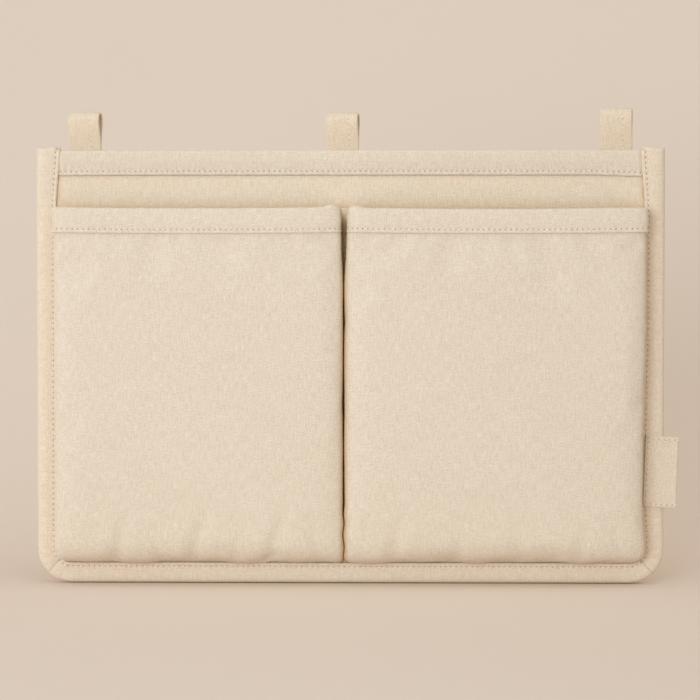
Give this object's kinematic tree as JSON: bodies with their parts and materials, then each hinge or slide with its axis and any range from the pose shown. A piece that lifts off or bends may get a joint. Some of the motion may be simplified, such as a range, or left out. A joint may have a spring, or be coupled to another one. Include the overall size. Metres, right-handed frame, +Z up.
{
  "type": "bedside caddy",
  "caption": "Flat padded canvas caddy with bound edges, puffed front pockets that open at the mouth, and fabric loops along its top for hanging it beside a bed.",
  "frame": {"origin": "on the line that the loops hang on, at the inner crown of their eyes, half way across the caddy", "axes": "+X to the right as seen from the front, +Y to the back, towards the bed, +Z up"},
  "size_m": [0.4078, 0.0411, 0.3008],
  "materials": {
    "canvas": "plain-woven cream cotton canvas, matte",
    "binding_canvas": "plain-woven cream cotton canvas, matte, folded round the edge",
    "lining": "light cream cotton, matte",
    "strap": "folded cream cotton canvas, matte",
    "label_tape": "fine woven cream tape, bare",
    "wadding": "soft off-white fibre wadding",
    "thread": "twisted cream sewing thread"
  },
  "bodies": {
    "panel": {"back_cover": "canvas", "panel_wadding": "wadding", "front_cover": "canvas", "top_hem": "canvas", "top_hem_thread": "thread", "binding_left": "binding_canvas", "binding_bottom": "binding_canvas", "binding_right": "binding_canvas", "binding_thread_lower": "thread", "binding_thread_upper": "thread", "left_pocket_outer_gusset": "canvas", "left_pocket_inner_gusset": "canvas", "right_pocket_outer_gusset": "canvas", "right_pocket_inner_gusset": "canvas", "centre_strip": "canvas", "centre_seam_thread": "thread", "left_loop_tail": "strap", "left_loop_thread": "thread", "middle_loop_tail": "strap", "middle_loop_thread": "thread", "right_loop_tail": "strap", "right_loop_thread": "thread", "label_sewn_end": "label_tape", "label_thread": "thread"},
    "left_pocket": {"left_pocket_front": "canvas", "left_pocket_wadding": "wadding", "left_pocket_lining": "lining", "left_pocket_hem": "canvas", "left_pocket_hem_thread": "thread"},
    "right_pocket": {"right_pocket_front": "canvas", "right_pocket_wadding": "wadding", "right_pocket_lining": "lining", "right_pocket_hem": "canvas", "right_pocket_hem_thread": "thread"},
    "left_hanger": {"left_loop": "strap"},
    "middle_hanger": {"middle_loop": "strap"},
    "right_hanger": {"right_loop": "strap"},
    "label": {"label_flag": "label_tape"}
  },
  "joints": [
    {"name": "left_pocket_open", "type": "hinge", "parent": "panel", "child": "left_pocket", "pos_m": [-0.09605, -0.01165, -0.28594], "axis": [1, 0, 0], "range_deg": [0, 8], "stiffness_Nm_per_rad": 0.2, "springref_deg": -6.88, "deforming": ["left_pocket_outer_gusset", "left_pocket_inner_gusset"]},
    {"name": "right_pocket_open", "type": "hinge", "parent": "panel", "child": "right_pocket", "pos_m": [0.09255, -0.01165, -0.28594], "axis": [1, 0, 0], "range_deg": [0, 8], "stiffness_Nm_per_rad": 0.2, "springref_deg": -6.88, "deforming": ["right_pocket_outer_gusset", "right_pocket_inner_gusset"]},
    {"name": "left_loop_swing", "type": "hinge", "parent": "panel", "child": "left_hanger", "pos_m": [-0.1696, 0, -0.02144], "axis": [1, 0, 0], "range_deg": [-90, 60], "stiffness_Nm_per_rad": 0.002},
    {"name": "middle_loop_swing", "type": "hinge", "parent": "panel", "child": "middle_hanger", "pos_m": [-0.0047, 0, -0.02144], "axis": [1, 0, 0], "range_deg": [-90, 60], "stiffness_Nm_per_rad": 0.002},
    {"name": "right_loop_swing", "type": "hinge", "parent": "panel", "child": "right_hanger", "pos_m": [0.1696, 0, -0.02144], "axis": [1, 0, 0], "range_deg": [-90, 60], "stiffness_Nm_per_rad": 0.002},
    {"name": "label_lift", "type": "hinge", "parent": "panel", "child": "label", "pos_m": [0.1909, -0.01425, -0.22744], "axis": [0, 0, -1], "range_deg": [0, 90], "stiffness_Nm_per_rad": 0.001}
  ]
}
